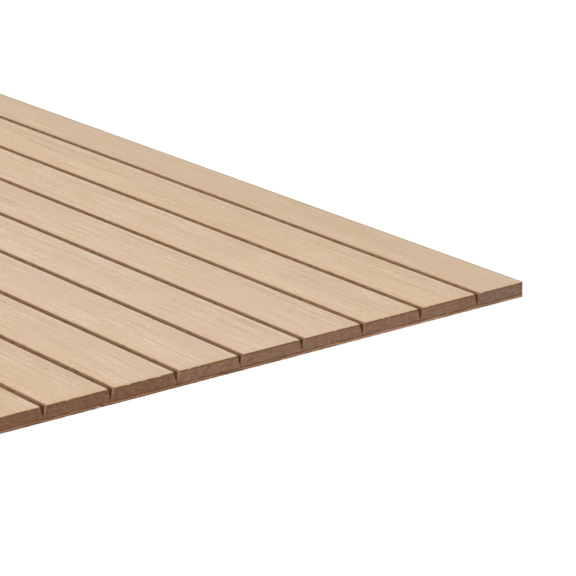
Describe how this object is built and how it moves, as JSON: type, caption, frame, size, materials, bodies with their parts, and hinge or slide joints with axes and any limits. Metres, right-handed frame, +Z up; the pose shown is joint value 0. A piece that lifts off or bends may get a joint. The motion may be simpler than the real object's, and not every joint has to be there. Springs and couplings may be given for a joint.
{
  "type": "tambour panel",
  "caption": "Flat tambour panel of wood-faced slats parted by V grooves cut down to one flexible backing sheet, for facing walls, islands and curved fronts.",
  "frame": {"origin": "middle of the underside of the backing sheet, on the surface that the panel lies on", "axes": "+X across the slats, +Y along the slats, +Z up out of the veneered face"},
  "size_m": [0.6032, 1.2192, 0.0041],
  "materials": {
    "face_veneer": "pale straight-grained wood veneer, sanded, unfinished",
    "core_board": "raw medium-density fibreboard, sawn and grooved",
    "backing_paper": "kraft paper and resin backing sheet, matt"
  },
  "bodies": {
    "root": {"core_slat_01": "core_board", "core_slat_02": "core_board", "core_slat_03": "core_board", "core_slat_04": "core_board", "core_slat_05": "core_board", "core_slat_06": "core_board", "core_slat_07": "core_board", "core_slat_08": "core_board", "core_slat_09": "core_board", "core_slat_10": "core_board", "core_slat_11": "core_board", "core_slat_12": "core_board", "core_slat_13": "core_board", "core_slat_14": "core_board", "core_slat_15": "core_board", "core_slat_16": "core_board", "core_slat_17": "core_board", "core_slat_18": "core_board", "core_slat_19": "core_board", "core_slat_20": "core_board", "core_slat_21": "core_board", "core_slat_22": "core_board", "core_slat_23": "core_board", "core_slat_24": "core_board", "core_slat_25": "core_board", "core_slat_26": "core_board", "core_slat_27": "core_board", "core_slat_28": "core_board", "core_slat_29": "core_board", "core_slat_30": "core_board", "core_slat_31": "core_board", "core_slat_32": "core_board", "face_veneer": "face_veneer", "backing_sheet": "backing_paper"}
  },
  "joints": []
}
